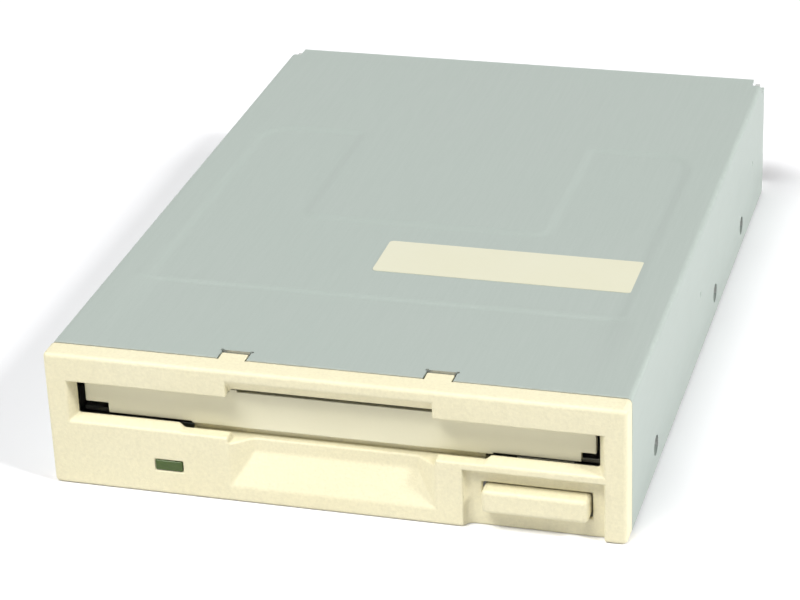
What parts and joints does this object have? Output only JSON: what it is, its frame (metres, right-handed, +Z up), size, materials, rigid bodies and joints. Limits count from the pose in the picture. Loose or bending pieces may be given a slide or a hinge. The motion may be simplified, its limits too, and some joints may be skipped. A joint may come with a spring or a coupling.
{
  "type": "floppy disk drive",
  "caption": "Slot-loading floppy disk drive with pressed steel cover and chassis, moulded front with sprung dust flap and eject button, drop-down disk holder, spindle and stepping heads.",
  "frame": {"origin": "on the base plane, under the middle of the drive's box, eject button included", "axes": "+Z up, the front bezel faces -Y, +X to the right as seen from the front"},
  "size_m": [0.1016, 0.151, 0.0254],
  "materials": {
    "bezel_plastic": "moulded, fine grain",
    "flap_plastic": "moulded, satin",
    "cover_paint": "satin, pale grey-green",
    "zinc_steel": "zinc plated sheet",
    "bright_steel": "ground and polished",
    "board_green": "solder mask",
    "board_brown": "paper laminate",
    "black_plastic": "moulded",
    "cream_plastic": "moulded",
    "contact_metal": "gold flash",
    "bearing_bronze": "sintered",
    "copper_wire": "enamelled",
    "ferrite": "pressed ferrite",
    "lens_green": "tinted lens",
    "cast_alloy": "die cast"
  },
  "bodies": {
    "frame": {"chassis": "zinc_steel", "top_cover": "cover_paint", "front_bezel": "bezel_plastic", "led_lamp": "lens_green", "led_leads": "bright_steel", "main_board": "board_green", "board_chips": "black_plastic", "data_connector": "black_plastic", "data_pins": "contact_metal", "power_connector": "cream_plastic", "power_pins": "contact_metal", "motor_board": "board_brown", "motor_ribbon": "black_plastic", "stator_core": "bright_steel", "stator_coils": "copper_wire", "spindle_bearing": "bearing_bronze", "index_sensor": "black_plastic", "track_zero_sensor": "black_plastic", "sense_switches": "black_plastic", "stepper_case": "zinc_steel", "stepper_bracket": "zinc_steel", "guide_rod": "bright_steel", "rod_clamps": "zinc_steel", "motor_screws": "bright_steel", "bearing_screws": "bright_steel", "board_screws": "bright_steel", "bracket_screws": "bright_steel", "clamp_screws": "bright_steel", "eject_springs": "bright_steel", "flap_spring": "bright_steel"},
    "eject_slider": {"eject_plate": "zinc_steel", "eject_button": "bezel_plastic"},
    "holder": {"disk_holder": "zinc_steel", "holder_pins": "bright_steel", "latch_stud": "bright_steel", "latch_spring": "bright_steel"},
    "latch": {"latch_lever": "zinc_steel", "latch_pin": "bright_steel"},
    "flap": {"dust_flap": "flap_plastic"},
    "spindle": {"spindle_shaft": "bright_steel", "rotor_cup": "zinc_steel", "rotor_magnet": "ferrite", "hub_table": "bright_steel", "drive_pin": "bright_steel"},
    "positioner_screw": {"lead_screw": "bright_steel", "stepper_rotor": "ferrite"},
    "carriage": {"head_carriage": "cast_alloy", "lower_head": "black_plastic", "follower_pin": "contact_metal", "arm_hinge_pin": "bright_steel", "arm_spring": "bright_steel"},
    "upper_arm": {"head_arm": "cast_alloy", "upper_head": "black_plastic"},
    "write_switch": {"write_plunger": "cream_plastic"},
    "density_switch": {"density_plunger": "cream_plastic"},
    "disk_switch": {"disk_plunger": "cream_plastic"}
  },
  "joints": [
    {"name": "eject_slide", "type": "slide", "parent": "frame", "child": "eject_slider", "axis": [0, -1, 0], "range_m": [0, 0.005], "deforming": ["eject_springs"]},
    {"name": "holder_drop", "type": "slide", "parent": "frame", "child": "holder", "axis": [0, 0, -1], "range_m": [0, 0.0026]},
    {"name": "flap_hinge", "type": "hinge", "parent": "frame", "child": "flap", "pos_m": [0, -0.07, 0.0196], "axis": [1, 0, 0], "range_deg": [0, 80], "stiffness_Nm_per_rad": 0.0002, "deforming": ["flap_spring"]},
    {"name": "latch_swing", "type": "hinge", "parent": "holder", "child": "latch", "pos_m": [-0.038, -0.0025, 0.0205], "axis": [0, 0, 1], "range_deg": [0, 65], "stiffness_Nm_per_rad": 0.0008, "deforming": ["latch_spring"]},
    {"name": "spindle_turn", "type": "hinge", "parent": "frame", "child": "spindle", "pos_m": [0, -0.0195, 0.011], "axis": [0, 0, 1], "continuous": true},
    {"name": "head_step", "type": "slide", "parent": "frame", "child": "carriage", "axis": [0, -1, 0], "range_m": [0, 0.01481]},
    {"name": "screw_turn", "type": "hinge", "parent": "frame", "child": "positioner_screw", "pos_m": [0.027, 0.0405, 0.0167], "axis": [0, 1, 0], "range_deg": [0, 1422]},
    {"name": "arm_lift", "type": "hinge", "parent": "carriage", "child": "upper_arm", "pos_m": [0, 0.0485, 0.0188], "axis": [1, 0, 0], "range_deg": [0, 8.9], "deforming": ["arm_spring"]},
    {"name": "write_press", "type": "slide", "parent": "frame", "child": "write_switch", "axis": [0, 0, -1], "range_m": [0, 0.0012], "stiffness_N_per_m": 100},
    {"name": "density_press", "type": "slide", "parent": "frame", "child": "density_switch", "axis": [0, 0, -1], "range_m": [0, 0.0012], "stiffness_N_per_m": 100},
    {"name": "disk_press", "type": "slide", "parent": "frame", "child": "disk_switch", "axis": [0, 0, -1], "range_m": [0, 0.0012], "stiffness_N_per_m": 100}
  ],
  "couplings": [
    {"joint": "holder_drop", "follows": "eject_slide", "ratio": 0.52},
    {"joint": "arm_lift", "follows": "eject_slide", "rad_per_m": 31.067},
    {"joint": "screw_turn", "follows": "head_step", "rad_per_m": 1675.5}
  ]
}
